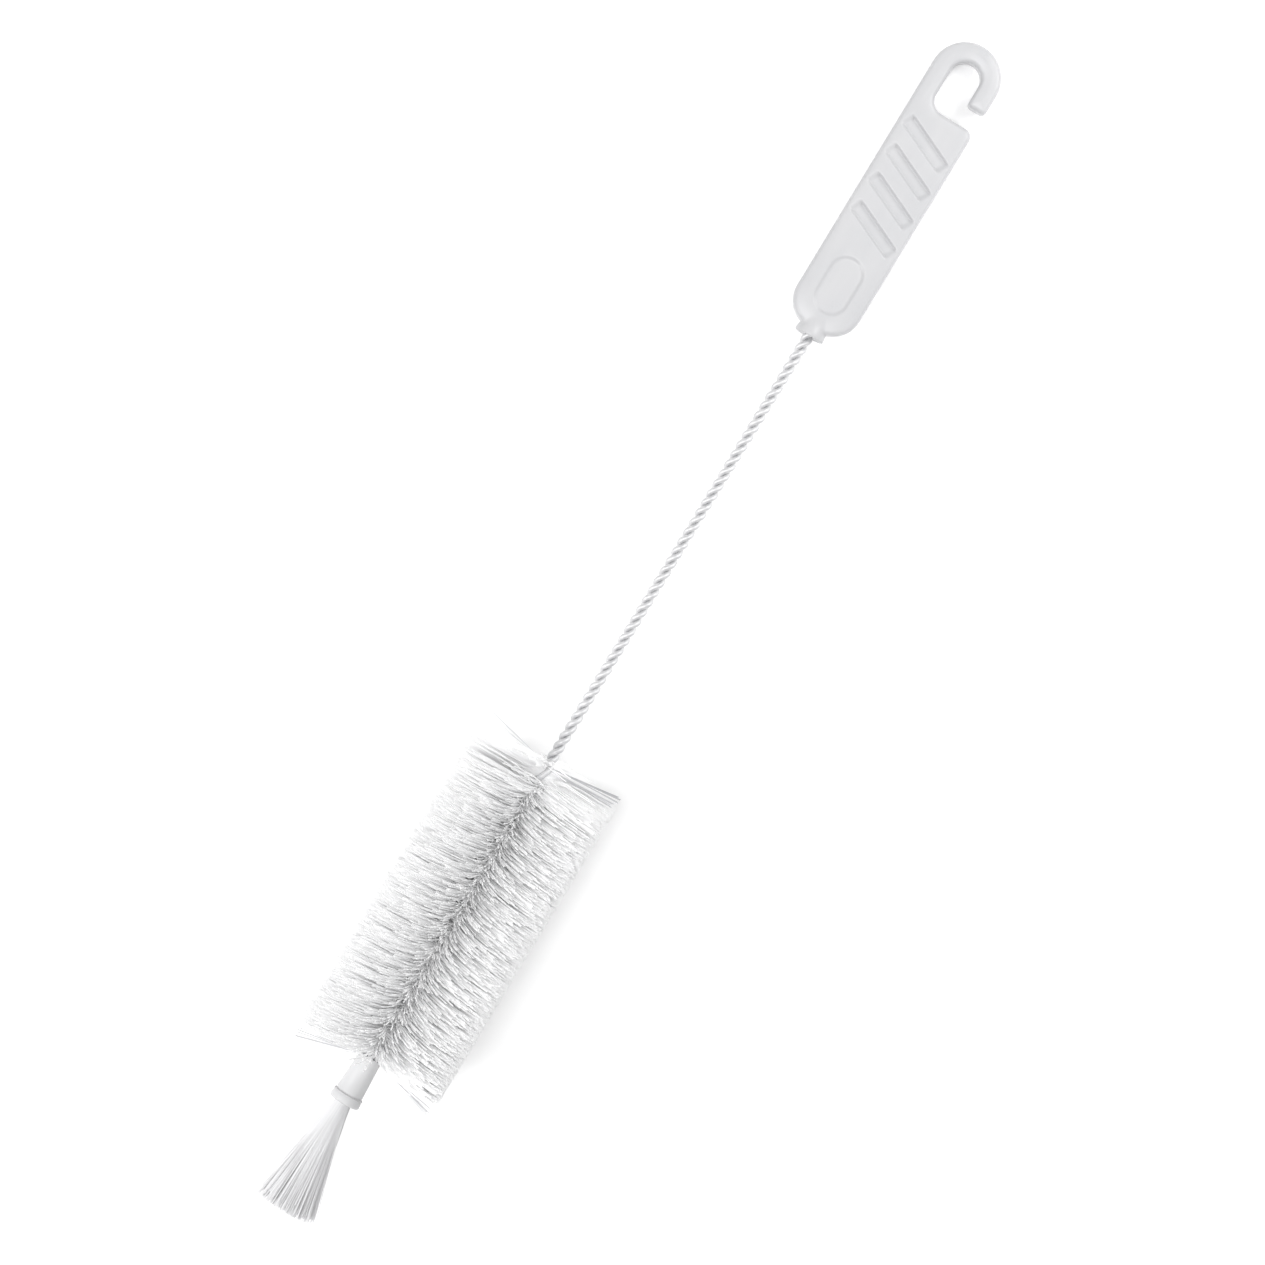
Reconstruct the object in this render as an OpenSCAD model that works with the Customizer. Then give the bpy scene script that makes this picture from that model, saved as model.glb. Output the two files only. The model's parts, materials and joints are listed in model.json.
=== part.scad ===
// Bottle brush: a moulded handle with a hook, a stem of twisted wire, a cylindrical head of
// filaments gripped between the wire's two legs, and a tip tuft in a plastic ferrule.
// The brush lies as it comes to rest: on the handle-side rim of its head and on its hook.
// +X runs along the brush from the tip to the hook, and the floor is z = 0.

/* [Handle] */
// Length of the handle from its round end to the crown of the hook
handle_length = 97; // [85:1:120]
// Width of the handle across its flat faces
handle_width = 21.4; // [19:0.2:26]
// Thickness of the handle
handle_thickness = 7.5; // [6.5:0.1:9]
// How far the rounding of each edge runs in over the flat face
handle_edge_run = 2.7; // [1.2:0.1:2.9]
// How far the rounding of each edge falls from the flat face
handle_edge_fall = 2.4; // [1.2:0.1:3]
// Corner radius of the round end, seen on the flat face
handle_corner_radius = 8.8; // [5:0.1:10]

/* [Hook] */
// Width of the bar that forms the hook
hook_bar_width = 6; // [5.4:0.1:7]
// Length of the eye between the shoulder and the inside of the crown
hook_eye_length = 17.4; // [15:0.2:22]
// Gap between the shoulder and the free end of the hook
hook_mouth_gap = 6.1; // [4:0.1:8]
// Radius of the fillet between the shoulder and the hook's arm
hook_fillet_radius = 4.3; // [2.5:0.1:5]
// Corner radius of the shoulder beside the hook's mouth
shoulder_corner_radius = 2.6; // [0.5:0.1:4]
// Corner radius of the hook's free end
hook_corner_radius = 1.4; // [0.5:0.1:2.5]

/* [Grip flutes] */
// Number of slanted flutes on each flat face
flute_count = 4; // [2:1:5]
// Distance between flutes along the handle
flute_pitch = 9.8; // [8:0.1:11]
// Width of a flute across its direction
flute_width = 4.8; // [3:0.1:5]
// Depth of a flute at its steep wall
flute_depth = 1.3; // [0.4:0.1:1.4]
// Lean of the flutes towards the hook, in degrees from straight across
flute_lean = 24; // [0:1:30]
// Distance from the shoulder back to the last flute's middle
flute_setback = 10.2; // [6:0.1:12]

/* [Thumb pad] */
// Length of the oval recess for the thumb
pad_length = 19.4; // [14:0.2:22]
// Width of the oval recess
pad_width = 11.4; // [8:0.2:13]
// Depth of the oval recess
pad_depth = 0.6; // [0.3:0.1:1]
// Distance from the round end to the near end of the recess
pad_setback = 4.8; // [4:0.1:7]

/* [Handle collar] */
// Diameter of the collar's flared rim, where the wire enters
collar_diameter = 9.2; // [8:0.1:11]
// Diameter of the collar where it runs into the handle
collar_root_diameter = 6.4; // [5.5:0.1:7]
// How far the rim stands out of the handle's round end
collar_projection = 2.5; // [1.5:0.1:5]
// Depth to which the collar's root reaches into the handle
collar_root_depth = 5; // [3:0.5:8]
// Depth of the dished mouth round the wire
collar_dish_depth = 1.1; // [0.6:0.1:1.4]

/* [Wire] */
// Diameter of the galvanised wire
wire_diameter = 1.8; // [1.4:0.1:2.2]
// Length of bare twisted stem between the head and the collar
stem_length = 148.5; // [100:0.5:220]
// Lay of the twist in the bare stem: one full turn of a leg
stem_pitch = 6.7; // [5.5:0.1:9]
// Lay of the twist through the head, where filaments hold the legs apart
head_pitch = 13.6; // [11:0.2:18]
// Length of twisted wire held inside the handle
wire_in_handle = 36; // [25:1:45]
// Radius of the wire's centre line round the eye that holds the tuft
wire_eye_radius = 1.9; // [1.6:0.1:2]
// Free play between the wire's legs, and between the wire and what it passes through
wire_clearance = 0.05; // [0.03:0.01:0.1]

/* [Head] */
// Length of the filament head along the wire
head_length = 100; // [70:1:140]
// Diameter across the tips of the filaments
head_diameter = 48.6; // [35:0.2:65]
// Thickness of the filament layer pinched between the two legs
head_web = 0.5; // [0.3:0.05:0.7]
// Spread of each row of filaments about the axis, in degrees
head_row_spread = 90; // [40:1:110]
// How far the filaments give under the brush's own weight
rest_sink = 1.5; // [0.5:0.1:3]

/* [Tip ferrule] */
// Length of the ferrule with its collar
ferrule_length = 15.5; // [12:0.1:20]
// Outer diameter of the ferrule at its mouth, beside the head
ferrule_mouth_diameter = 7.2; // [6.8:0.1:9]
// Outer diameter of the ferrule where it meets its collar
ferrule_base_diameter = 8.8; // [8:0.1:10]
// Outer diameter of the ferrule's collar
ferrule_collar_diameter = 9.8; // [9:0.1:12]
// Length of the ferrule's collar
ferrule_collar_length = 3; // [2:0.1:4]
// Wall of the ferrule
ferrule_wall = 0.8; // [0.6:0.05:1]
// Gap between the ferrule's mouth and the first filaments of the head
ferrule_gap = 0.5; // [0.3:0.1:2]

/* [Tip tuft] */
// Length of the tuft outside the ferrule
tuft_length = 36; // [25:0.5:50]
// Diameter of the tuft where it leaves the ferrule
tuft_neck_diameter = 5; // [4:0.1:6]
// Diameter of the tuft's fanned end
tuft_end_diameter = 15.5; // [10:0.5:20]

/* [Hidden] */
$fn = 64;

white_plastic = [0.90, 0.90, 0.91];
galvanised = [0.72, 0.73, 0.75];
nylon = [0.93, 0.93, 0.94];

// Stations along the brush's own axis, from the tip
ferrule_x = tuft_length;
mouth_x = ferrule_x + ferrule_length;
head_x = mouth_x + ferrule_gap;
stem_x = head_x + head_length;
rim_x = stem_x + stem_length;
handle_x = rim_x + collar_projection;
hook_x = handle_x + handle_length;

// Rest pose: the tilt that puts the hook's lower edge on the floor and sinks the head's rim
// by rest_sink, from  reach * sin(t) - drop * cos(t) = -(rest_sink + handle_edge_fall)
half_thickness = handle_thickness / 2;
head_radius = head_diameter / 2;
edge_height = half_thickness - handle_edge_fall;
edge_x = hook_x - handle_edge_run;
reach = edge_x - stem_x;
drop = head_radius - edge_height;
rest_tilt = atan2(drop, reach) - asin((rest_sink + handle_edge_fall) / norm([reach, drop]));
rest_height = edge_x * sin(rest_tilt) + edge_height * cos(rest_tilt) + handle_edge_fall;
tip_end = -tuft_end_diameter / 2 * sin(rest_tilt);
hook_end = edge_x * cos(rest_tilt) + edge_height * sin(rest_tilt) + handle_edge_run;
middle = (tip_end + hook_end) / 2;

// Handle outline, in the handle's own plane with x = 0 at its round end
half_width = handle_width / 2;
crown_x = handle_length - half_width;
eye_radius = half_width - hook_bar_width;
shoulder_x = handle_length - hook_bar_width - hook_eye_length;
hook_tip_x = shoulder_x + hook_mouth_gap;

// Wire: distance of each leg's centre line from the brush's axis
stem_lay_radius = wire_diameter / 2 + wire_clearance / 2;
head_lay_radius = wire_diameter / 2 + head_web / 2 + wire_clearance;
lay_change = 3;
eye_start_x = head_x - 2.5;
eye_centre_x = ferrule_x + 6.5;
wire_sides = 6;
stem_steps = 9;
head_steps = 12;
wire_bore_radius = wire_diameter + wire_clearance * 2;
wire_bore_depth = wire_in_handle + wire_diameter / 2 + wire_clearance;
overlap = 0.01;

function smooth(t) = let(c = min(max(t, 0), 1)) c * c * (3 - 2 * c);
function unit(v) = v / norm(v);

// Twist of leg A about the axis at station x, with the wire untwisted beyond the eye's start
function lay_angle(x) = let(c = max(x, eye_start_x))
    c > stem_x ? 360 * (c - stem_x) / stem_pitch : 360 * (c - stem_x) / head_pitch;

// Distance of a leg from the axis at station x
function lay_radius(x) =
    x < eye_start_x
        ? stem_lay_radius + (wire_eye_radius - stem_lay_radius)
            * smooth((eye_start_x - x) / (eye_start_x - eye_centre_x))
        : stem_lay_radius + (head_lay_radius - stem_lay_radius)
            * smooth((x - eye_start_x) / lay_change) * smooth((stem_x + lay_change - x) / lay_change);

// Unit vector across the axis at an angle
function across(angle) = [0, cos(angle), sin(angle)];

// Stations of one leg, from its cut end in the handle to the eye
wire_end_x = handle_x + wire_in_handle;
stem_turns = (wire_end_x - stem_x) / stem_pitch;
head_turns = (stem_x - eye_start_x) / head_pitch;
stem_rings = ceil(stem_turns * stem_steps);
head_rings = ceil(head_turns * head_steps);
eye_rings = 8;
leg_stations = concat(
    [for (i = [0 : stem_rings - 1]) wire_end_x - i * (wire_end_x - stem_x) / stem_rings],
    [for (i = [0 : head_rings - 1]) stem_x - i * (stem_x - eye_start_x) / head_rings],
    [for (i = [0 : eye_rings - 1]) eye_start_x - i * (eye_start_x - eye_centre_x) / eye_rings]
);
leg_count = len(leg_stations);

// The hairpin's centre line, and at each point the direction away from what the wire bends round
function leg_point(x, side) = [x, 0, 0] + lay_radius(x) * side * across(lay_angle(x));
function eye_point(t) = [eye_centre_x - wire_eye_radius * sin(t), 0, 0]
    + wire_eye_radius * cos(t) * across(lay_angle(eye_start_x));
wire_path = concat(
    [for (x = leg_stations) leg_point(x, 1)],
    [for (i = [0 : eye_rings]) eye_point(i * 180 / eye_rings)],
    [for (i = [leg_count - 1 : -1 : 0]) leg_point(leg_stations[i], -1)]
);
wire_outward = concat(
    [for (x = leg_stations) across(lay_angle(x))],
    [for (i = [0 : eye_rings]) unit(eye_point(i * 180 / eye_rings) - [eye_centre_x, 0, 0])],
    [for (i = [leg_count - 1 : -1 : 0]) -across(lay_angle(leg_stations[i]))]
);

// Rings of points round a path, with one flat of each ring towards the path's inside
function path_tangent(path, i) = unit(path[min(i + 1, len(path) - 1)] - path[max(i - 1, 0)]);
function ring(centre, tangent, outward, radius, sides) = let(
        e1 = unit(outward - (outward * tangent) * tangent),
        e2 = cross(tangent, e1))
    [for (j = [0 : sides - 1]) let(a = (j + 0.5) * 360 / sides)
        centre + radius * (cos(a) * e1 + sin(a) * e2)];

// Faces of a solid made of rings of n points each. Each cap is a list of convex faces, given
// as point numbers of the first ring; the last ring's cap is the same, turned over.
function skin_faces(rings, n, cap) = concat(
    cap,
    [for (i = [0 : rings - 2], j = [0 : n - 1]) let(k = (j + 1) % n)
        [i * n + j, (i + 1) * n + j, (i + 1) * n + k]],
    [for (i = [0 : rings - 2], j = [0 : n - 1]) let(k = (j + 1) % n)
        [i * n + j, (i + 1) * n + k, i * n + k]],
    [for (face = cap) [for (j = [len(face) - 1 : -1 : 0]) (rings - 1) * n + face[j]]]
);
function count_up(from, to) = [for (j = [from : to]) j];

// Filament rows: a two-bladed cross-section that turns with the wire's lay
row_steps = 20;
row_rings = ceil(head_length / head_pitch * row_steps);
blade_points = 6;
web_reach = wire_diameter / 2;

// Reach of a filament from the axis to the head's surface, or to the floor under the brush
function row_reach(x, angle) = let(
        axis_height = rest_height - x * sin(rest_tilt),
        fall = -sin(angle) * cos(rest_tilt))
    fall * head_radius > axis_height ? axis_height / fall : head_radius;
function blade(x, angle) = concat(
    [[x, 0, 0] + web_reach * across(angle) - head_web / 2 * across(angle + 90)],
    [for (j = [0 : blade_points]) let(a = angle + head_row_spread * (j / blade_points - 0.5))
        [x, 0, 0] + row_reach(x, a) * across(a)],
    [[x, 0, 0] + web_reach * across(angle) + head_web / 2 * across(angle + 90)]
);
// The filaments lie across the plane through both legs, so the rows stand 90 degrees from them
function row_ring(x) = concat(blade(x, lay_angle(x) + 90), blade(x, lay_angle(x) + 270));

// Handle outline, counter-clockwise, drawn inside its true edge by inset. Each arc is
// [centre x, centre y, radius, start angle, turn]: a hollow turns backwards and grows.
arc_step = 11.25;
least_radius = 0.1;
function arc(x, y, r, start, turn) = let(n = ceil(abs(turn) / arc_step))
    [for (i = [0 : n]) [x + r * cos(start + i * turn / n), y + r * sin(start + i * turn / n)]];
function corner(x, y, sx, sy, radius, inset, start) = let(
        r = max(radius - inset, least_radius),
        c = inset + r)
    arc(x + sx * c, y + sy * c, r, start, 90);
function handle_outline(inset) = concat(
    corner(0, -half_width, 1, 1, handle_corner_radius, inset, 180),
    corner(shoulder_x, -half_width, -1, 1, shoulder_corner_radius, inset, 270),
    arc(shoulder_x + hook_fillet_radius, eye_radius - hook_fillet_radius,
        hook_fillet_radius + inset, 180, -90),
    arc(crown_x, 0, eye_radius + inset, 90, -180),
    corner(hook_tip_x, -eye_radius, 1, -1, hook_corner_radius, inset, 90),
    corner(hook_tip_x, -half_width, 1, 1, hook_corner_radius, inset, 180),
    arc(crown_x, 0, half_width - inset, -90, 180),
    corner(0, half_width, 1, -1, handle_corner_radius, inset, 90)
);

// Convex faces that fill the outline: the grip, the hook's root, the crown and the free end
corner_points = ceil(90 / arc_step) + 1;
crown_points = ceil(180 / arc_step) + 1;
fillet_start = 2 * corner_points;
eye_start = 3 * corner_points;
tip_start = eye_start + crown_points;
crown_start = tip_start + 2 * corner_points;
last_corner = crown_start + crown_points;
outline_points = last_corner + corner_points;
handle_cap = concat(
    [concat(count_up(0, fillet_start), count_up(last_corner, outline_points - 1))],
    [for (i = [fillet_start : eye_start - 2]) [i, i + 1, last_corner]],
    [[eye_start - 1, eye_start, last_corner - 1, last_corner]],
    [for (i = [0 : crown_points - 2])
        [eye_start + i, eye_start + i + 1, last_corner - 2 - i, last_corner - 1 - i]],
    [concat(count_up(tip_start - 1, crown_start))]
);

// Rounding of the handle's edges as [inset, height] levels, from the lower face up
edge_steps = 6;
edge_levels = concat(
    [for (i = [0 : edge_steps]) let(a = i * 90 / edge_steps)
        [handle_edge_run * (1 - sin(a)), -edge_height - handle_edge_fall * cos(a)]],
    [for (i = [edge_steps : -1 : 0]) let(a = i * 90 / edge_steps)
        [handle_edge_run * (1 - sin(a)), edge_height + handle_edge_fall * cos(a)]]
);

// Puts the brush's own axis, which starts at the tip, into its rest pose
module at_rest() {
    translate([-middle, 0, rest_height]) rotate([0, rest_tilt, 0]) children();
}

// Turns a profile drawn as (radius, station) about the brush's axis
module turned() {
    rotate([0, 90, 0]) rotate_extrude() children();
}

// Handle blank: the outline stacked in rings that draw in to round off every edge
module handle_blank() {
    polyhedron(
        points = [for (level = edge_levels) each
            [for (p = handle_outline(level[0])) [p[0], p[1], level[1]]]],
        faces = skin_faces(len(edge_levels), outline_points, handle_cap)
    );
}

// One flute: a slope that drops to a steep wall on the hook side and rises towards both ends,
// so it is turned about an axis far above the face
module flute() {
    half_length = half_width - handle_edge_run + 1;
    sweep_radius = (half_length * half_length + flute_depth * flute_depth) / (2 * flute_depth);
    steep = flute_width * 0.2;
    sweep = 2 * asin(half_length / sweep_radius) + 4;
    run = flute_width - steep;
    rotate([0, 0, -flute_lean]) translate([0, 0, sweep_radius - flute_depth])
        rotate([0, 90, 0]) rotate([0, 0, -sweep / 2]) rotate_extrude(angle = sweep)
            polygon([
                [sweep_radius - 2 * flute_depth, -flute_width / 2 - run],
                [sweep_radius - 2 * flute_depth, flute_width / 2],
                [sweep_radius - flute_depth, flute_width / 2],
                [sweep_radius, flute_width / 2 - steep],
                [sweep_radius - flute_depth, -flute_width / 2]
            ]);
}

// Everything that is sunk into one flat face, drawn on the plane z = 0
module face_recesses() {
    for (i = [0 : flute_count - 1])
        translate([shoulder_x - flute_setback - i * flute_pitch, 0, 0]) flute();
    translate([pad_setback, 0, -pad_depth]) linear_extrude(height = pad_depth + overlap) {
        translate([pad_width / 2, 0]) circle(d = pad_width);
        translate([pad_length - pad_width / 2, 0]) circle(d = pad_width);
        translate([pad_width / 2, -pad_width / 2]) square([pad_length - pad_width, pad_width]);
    }
}

// Flared collar that the wire leaves through, with its mouth at station -collar_projection
module handle_collar() {
    lip = 0.5;
    turned() polygon([
        [0, -collar_projection + collar_dish_depth],
        [wire_bore_radius, -collar_projection + collar_dish_depth],
        [collar_diameter / 2 - lip, -collar_projection],
        [collar_diameter / 2, -collar_projection + lip],
        [collar_diameter / 2, -collar_projection + 3 * lip],
        [collar_root_diameter / 2, collar_root_depth],
        [0, collar_root_depth]
    ]);
}

module handle() {
    color(white_plastic) at_rest() translate([handle_x, 0, 0]) difference() {
        union() {
            handle_blank();
            handle_collar();
        }
        for (turn = [0, 180])
            rotate([turn, 0, 0]) translate([0, 0, half_thickness]) face_recesses();
        translate([-collar_projection, 0, 0]) rotate([0, 90, 0])
            cylinder(r = wire_bore_radius, h = collar_projection + wire_bore_depth);
    }
}

module stem_wire() {
    color(galvanised) at_rest() polyhedron(
        points = [for (i = [0 : len(wire_path) - 1]) each
            ring(wire_path[i], path_tangent(wire_path, i), wire_outward[i], wire_diameter / 2, wire_sides)],
        faces = skin_faces(len(wire_path), wire_sides, [count_up(0, wire_sides - 1)])
    );
}

module head_filaments() {
    per_blade = blade_points + 3;
    cap = [
        count_up(0, per_blade - 1),
        count_up(per_blade, 2 * per_blade - 1),
        [0, per_blade - 1, per_blade, 2 * per_blade - 1]
    ];
    color(nylon) at_rest() polyhedron(
        points = [for (i = [0 : row_rings]) each row_ring(head_x + i * head_length / row_rings)],
        faces = skin_faces(row_rings + 1, 2 * per_blade, cap)
    );
}

// Tapered sleeve over the wire's eye, with its collar towards the tuft
module tip_ferrule() {
    chamfer = 0.3;
    base_x = ferrule_collar_length;
    color(white_plastic) at_rest() translate([ferrule_x, 0, 0]) turned() polygon([
        [tuft_neck_diameter / 2 + wire_clearance, 0],
        [ferrule_collar_diameter / 2 - chamfer, 0],
        [ferrule_collar_diameter / 2, chamfer],
        [ferrule_collar_diameter / 2, base_x - chamfer],
        [ferrule_collar_diameter / 2 - chamfer, base_x],
        [ferrule_base_diameter / 2, base_x],
        [ferrule_mouth_diameter / 2, ferrule_length],
        [ferrule_mouth_diameter / 2 - ferrule_wall, ferrule_length],
        [ferrule_base_diameter / 2 - ferrule_wall, base_x],
        [tuft_neck_diameter / 2 + wire_clearance, base_x]
    ]);
}

module tip_tuft() {
    color(nylon) at_rest() turned() polygon([
        [0, 0], [tuft_end_diameter / 2, 0],
        [tuft_neck_diameter / 2, tuft_length],
        [tuft_neck_diameter / 2, eye_centre_x - wire_eye_radius - wire_diameter / 2 - wire_clearance],
        [0, eye_centre_x - wire_eye_radius - wire_diameter / 2 - wire_clearance]
    ]);
}

handle();
stem_wire();
head_filaments();
tip_ferrule();
tip_tuft();
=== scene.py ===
"""A bottle brush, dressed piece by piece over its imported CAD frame.

Every piece is drawn in the brush's own millimetres: x is the station along the axis, counted from
the tip of the tuft, and z points out of the handle's upper face. BrushAxis then lays it at rest.
"""

import json
import logging
import math
from collections.abc import Callable, Sequence
from dataclasses import dataclass
from enum import Enum
from functools import partial

import bpy
import numpy as np
from mathutils import Matrix, Vector


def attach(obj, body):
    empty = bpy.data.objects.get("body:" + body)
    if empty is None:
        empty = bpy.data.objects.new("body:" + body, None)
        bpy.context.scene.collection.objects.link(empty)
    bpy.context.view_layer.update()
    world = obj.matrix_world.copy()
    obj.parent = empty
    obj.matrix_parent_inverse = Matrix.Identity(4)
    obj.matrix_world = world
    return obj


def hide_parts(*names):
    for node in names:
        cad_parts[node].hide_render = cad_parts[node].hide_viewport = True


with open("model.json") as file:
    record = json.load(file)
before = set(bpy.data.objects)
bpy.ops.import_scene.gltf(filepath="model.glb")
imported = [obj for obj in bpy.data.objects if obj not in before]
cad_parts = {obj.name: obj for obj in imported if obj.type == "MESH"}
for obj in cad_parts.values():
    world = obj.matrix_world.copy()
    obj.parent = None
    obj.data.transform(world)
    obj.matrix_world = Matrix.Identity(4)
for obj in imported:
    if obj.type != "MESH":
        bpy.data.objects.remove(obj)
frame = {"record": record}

LOG = logging.getLogger("bottle_brush")
BODY = "root"
MM = 0.001
WHITE = (1.0, 1.0, 1.0, 1.0)
NUDGE = 0.0001  # keeps a whole number's floor from falling to the one below
SMOOTH_FROM = 5  # sides from which a tube is shaded round
SHARP = 0.01  # radius of a corner that is left sharp, in mm


class Slot(Enum):
    """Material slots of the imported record."""

    HANDLE = "handle_plastic"
    WIRE = "galvanised_wire"
    FILAMENT = "filament"
    FERRULE = "ferrule_plastic"


class Sheen(Enum):
    """How a moulded plastic piece left its tool: roughness of its skin."""

    POLISHED = 0.3
    SATIN = 0.42


@dataclass(frozen=True)
class BrushAxis:
    """The brush's straight axis at rest, with the stations where its pieces start, in mm."""

    anchor: Vector
    tilt: float
    ferrule: float = 36.0
    head: float = 52.0
    stem: float = 152.0
    handle: float = 303.0
    peg: float = 394.0
    stem_pitch: float = 6.7
    head_pitch: float = 13.6
    eye_start: float = 49.5

    @classmethod
    def from_record(cls, record: dict) -> "BrushAxis":
        """Reads the axis from the hook's mount, which lies on it at the peg's station.

        Args:
            record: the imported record.

        Returns:
            The axis in the row frame.
        """
        mount = record["mounts"][0]
        across = mount["axis"]
        return cls(Vector(mount["pos_m"]), math.atan2(across[0], across[2]))

    def placement(self) -> Matrix:
        """Returns the matrix from the brush's millimetres to the row frame's metres."""
        return (
            Matrix.Translation(self.anchor)
            @ Matrix.Rotation(self.tilt, 4, "Y")
            @ Matrix.Scale(MM, 4)
            @ Matrix.Translation((-self.peg, 0.0, 0.0))
        )


def shown(name: str, data: bpy.types.ID) -> bpy.types.Object:
    """Returns a new object in the scene that holds the data."""
    made = bpy.data.objects.new(name, data)
    bpy.context.scene.collection.objects.link(made)
    return made


# Node arithmetic

def worked_by(operation: str) -> Callable[..., "Term"]:
    """Returns a method that gives a Math node's result for a Term and its other inputs."""

    def method(self: "Term", *others: "Term | float") -> "Term":
        """Returns the operation's result."""
        return self.math(operation, *others)

    return method


class Term:
    """A number inside a node tree that takes part in ordinary arithmetic."""

    def __init__(self, tree: bpy.types.NodeTree, socket: bpy.types.NodeSocket) -> None:
        """Wraps one output socket of a tree."""
        self.tree = tree
        self.socket = socket

    @staticmethod
    def worked(
        tree: bpy.types.NodeTree,
        operation: str,
        values: Sequence["Term | float"],
        clamp: bool = False,
    ) -> "Term":
        """Adds one Math node.

        Args:
            tree: the tree that gets the node.
            operation: the node's operation.
            values: its inputs, in order.
            clamp: whether the result stays between 0 and 1.

        Returns:
            The node's result.
        """
        node = tree.nodes.new("ShaderNodeMath")
        node.operation = operation
        node.use_clamp = clamp
        for place, value in zip(node.inputs, values):
            if isinstance(value, Term):
                tree.links.new(value.socket, place)
            else:
                place.default_value = value
        return Term(tree, node.outputs[0])

    def math(self, operation: str, *others: "Term | float") -> "Term":
        """Returns the result of an operation whose first input is this number."""
        return Term.worked(self.tree, operation, (self, *others))

    def __rsub__(self, other: float) -> "Term":
        """Returns the difference from a plain number."""
        return Term.worked(self.tree, "SUBTRACT", (other, self))

    def unit(self) -> "Term":
        """Returns the number held between 0 and 1."""
        return Term.worked(self.tree, "ADD", (self, 0.0), clamp=True)

    def eased(self) -> "Term":
        """Returns a smooth step as the number goes from 0 to 1."""
        held = self.unit()
        return held * held * (3.0 - 2.0 * held)

    __add__ = __radd__ = worked_by("ADD")
    __sub__ = worked_by("SUBTRACT")
    __mul__ = __rmul__ = worked_by("MULTIPLY")
    __truediv__ = worked_by("DIVIDE")
    __pow__ = worked_by("POWER")
    floor = worked_by("FLOOR")
    sin = worked_by("SINE")
    cos = worked_by("COSINE")
    least = worked_by("MINIMUM")
    most = worked_by("MAXIMUM")
    above = worked_by("GREATER_THAN")


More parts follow.
